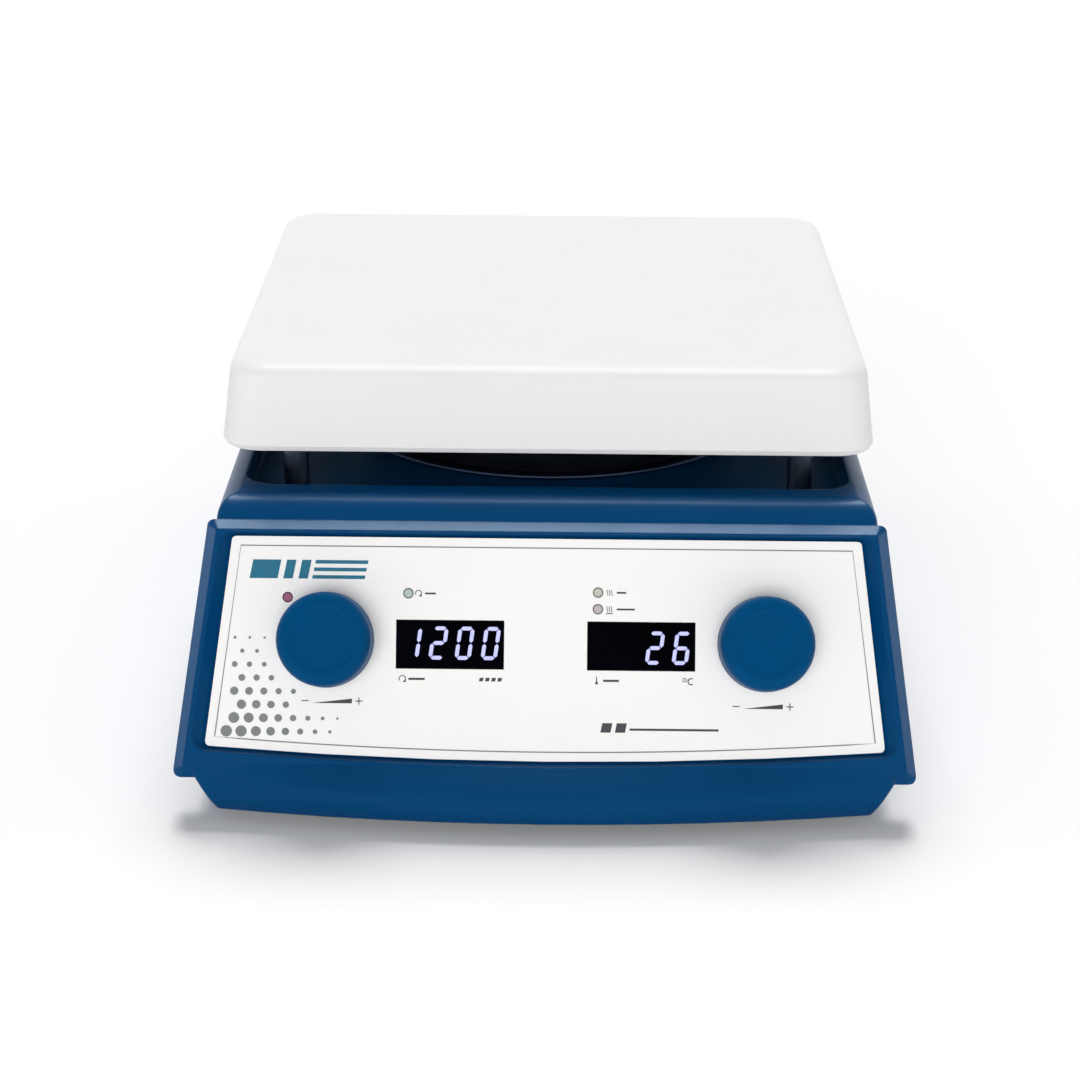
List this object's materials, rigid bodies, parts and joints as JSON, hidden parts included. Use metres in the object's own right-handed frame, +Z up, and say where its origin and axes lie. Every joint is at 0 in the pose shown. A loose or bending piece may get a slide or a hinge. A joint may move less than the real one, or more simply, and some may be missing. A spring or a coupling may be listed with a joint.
{
  "type": "hotplate stirrer",
  "caption": "Laboratory hotplate stirrer: a square white heating plate on posts over a cast blue housing with a sloped panel, push knobs and number displays.",
  "frame": {"origin": "on the bench, under the middle of the body: half-way between the nose and the rear fittings, and half-way across", "axes": "+X to the right seen from the front, +Y towards the back, +Z up; the control panel faces -Y"},
  "size_m": [0.2058, 0.295, 0.1187],
  "materials": {
    "housing_paint": "semi-gloss powder coat",
    "plate_coating": "smooth white ceramic coating on cast aluminium",
    "label_film": "satin printed film",
    "knob_plastic": "satin",
    "display_window": "dark tinted, polished",
    "lamp_red": "translucent",
    "lamp_amber": "translucent",
    "lamp_green": "translucent",
    "black_plastic": "fine grained",
    "foot_rubber": "matt",
    "steel_sheet": "zinc plated",
    "turned_steel": "turned, satin",
    "aluminium_part": "satin",
    "rear_panel_paint": "fine texture",
    "brass_part": "satin",
    "heater_sheet": "pressed mica sheet",
    "insulation_fibre": "mineral fibre felt",
    "board_laminate": "green solder resist",
    "winding": "laminated core with varnished winding"
  },
  "bodies": {
    "base": {"housing": "housing_paint", "bottom_plate": "steel_sheet", "foot_front_left": "foot_rubber", "foot_front_right": "foot_rubber", "foot_rear_left": "foot_rubber", "foot_rear_right": "foot_rubber", "bottom_screw_1": "turned_steel", "bottom_screw_2": "turned_steel", "bottom_screw_3": "turned_steel", "bottom_screw_4": "turned_steel", "heating_plate": "plate_coating", "heating_element": "heater_sheet", "insulation_pad": "insulation_fibre", "pressure_plate": "steel_sheet", "plate_sensor": "turned_steel", "heat_shield_drum": "aluminium_part", "plate_post_1": "turned_steel", "plate_post_2": "turned_steel", "plate_post_3": "turned_steel", "plate_post_4": "turned_steel", "motor_bracket": "steel_sheet", "drive_motor": "turned_steel", "power_board": "board_laminate", "transformer": "winding", "heat_sink": "aluminium_part", "rear_panel": "rear_panel_paint", "rear_screw_1": "turned_steel", "rear_screw_2": "turned_steel", "mains_inlet": "black_plastic", "power_switch_frame": "black_plastic", "probe_socket": "brass_part", "rod_socket": "turned_steel", "label_panel": "label_film", "control_board": "board_laminate", "display_window_left": "display_window", "display_window_right": "display_window", "display_module_left": "black_plastic", "display_module_right": "black_plastic", "lamp_power": "lamp_red", "lamp_stirring": "lamp_green", "lamp_heating": "lamp_amber", "lamp_hot_plate": "lamp_red", "speed_encoder": "black_plastic", "speed_encoder_nut": "brass_part", "heat_encoder": "black_plastic", "heat_encoder_nut": "brass_part"},
    "rotor": {"motor_shaft": "turned_steel", "magnet_carrier": "aluminium_part", "drive_magnet_1": "turned_steel", "drive_magnet_2": "turned_steel"},
    "speed_plunger": {"speed_plunger": "black_plastic"},
    "speed_knob": {"speed_knob": "knob_plastic", "speed_encoder_shaft": "turned_steel"},
    "heat_plunger": {"heat_plunger": "black_plastic"},
    "heat_knob": {"heat_knob": "knob_plastic", "heat_encoder_shaft": "turned_steel"},
    "power_rocker": {"power_rocker": "black_plastic"},
    "fuse_drawer": {"fuse_drawer": "black_plastic"}
  },
  "joints": [
    {"name": "stir_magnet_spin", "type": "hinge", "parent": "base", "child": "rotor", "pos_m": [0, 0.0005, 0.08], "axis": [0, 0, 1], "continuous": true},
    {"name": "speed_knob_push", "type": "slide", "parent": "base", "child": "speed_plunger", "axis": [0, 0.9205, -0.3907], "range_m": [0, 0.0005], "stiffness_N_per_m": 3000, "springref_m": -0.001},
    {"name": "speed_knob_turn", "type": "hinge", "parent": "speed_plunger", "child": "speed_knob", "pos_m": [-0.0608, -0.12451, 0.04955], "axis": [0, -0.9205, 0.3907], "continuous": true},
    {"name": "heat_knob_push", "type": "slide", "parent": "base", "child": "heat_plunger", "axis": [0, 0.9205, -0.3907], "range_m": [0, 0.0005], "stiffness_N_per_m": 3000, "springref_m": -0.001},
    {"name": "heat_knob_turn", "type": "hinge", "parent": "heat_plunger", "child": "heat_knob", "pos_m": [0.0608, -0.12451, 0.04955], "axis": [0, -0.9205, 0.3907], "continuous": true},
    {"name": "power_rocker_tilt", "type": "hinge", "parent": "base", "child": "power_rocker", "pos_m": [-0.01, 0.1429, 0.046], "axis": [1, 0, 0], "range_deg": [-16, 0]},
    {"name": "fuse_drawer_slide", "type": "slide", "parent": "base", "child": "fuse_drawer", "axis": [0, 1, 0], "range_m": [0, 0.017]}
  ]
}
